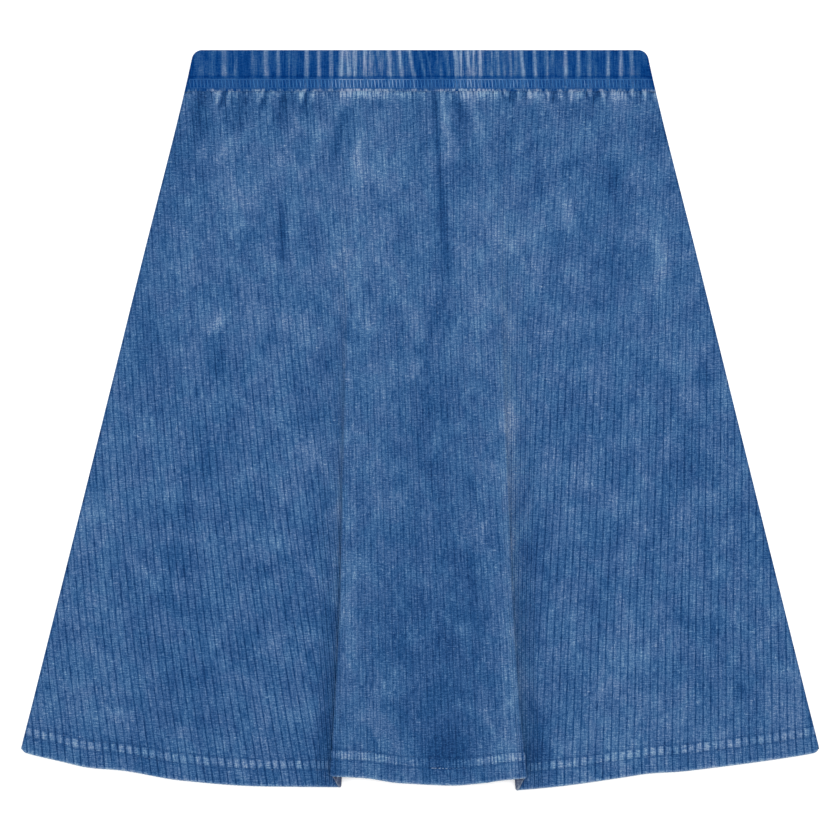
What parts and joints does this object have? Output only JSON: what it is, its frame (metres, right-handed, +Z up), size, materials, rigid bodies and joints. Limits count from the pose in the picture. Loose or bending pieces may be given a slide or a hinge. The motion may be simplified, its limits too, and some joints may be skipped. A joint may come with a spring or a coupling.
{
  "type": "a-line skirt",
  "caption": "A-line skirt in washed blue rib knit with a gathered elastic waistband and a stitched hem, laid flat with two soft folds down the front.",
  "frame": {"origin": "centre of the flat underside, at the middle of the overall width and length", "axes": "+Z up from the surface it lies on, +Y towards the waist, +X across towards the side seam on the right of the picture"},
  "size_m": [0.4941, 0.4584, 0.0111],
  "materials": {
    "back_knit": "mineral-washed cotton rib knit, matt",
    "front_knit": "mineral-washed cotton rib knit, matt",
    "back_band_knit": "mineral-washed cotton rib knit gathered on elastic, matt",
    "front_band_knit": "mineral-washed cotton rib knit gathered on elastic, matt"
  },
  "bodies": {
    "root": {"back_panel": "back_knit", "front_panel": "front_knit", "waistband_back": "back_band_knit", "waistband_front": "front_band_knit"}
  },
  "joints": []
}
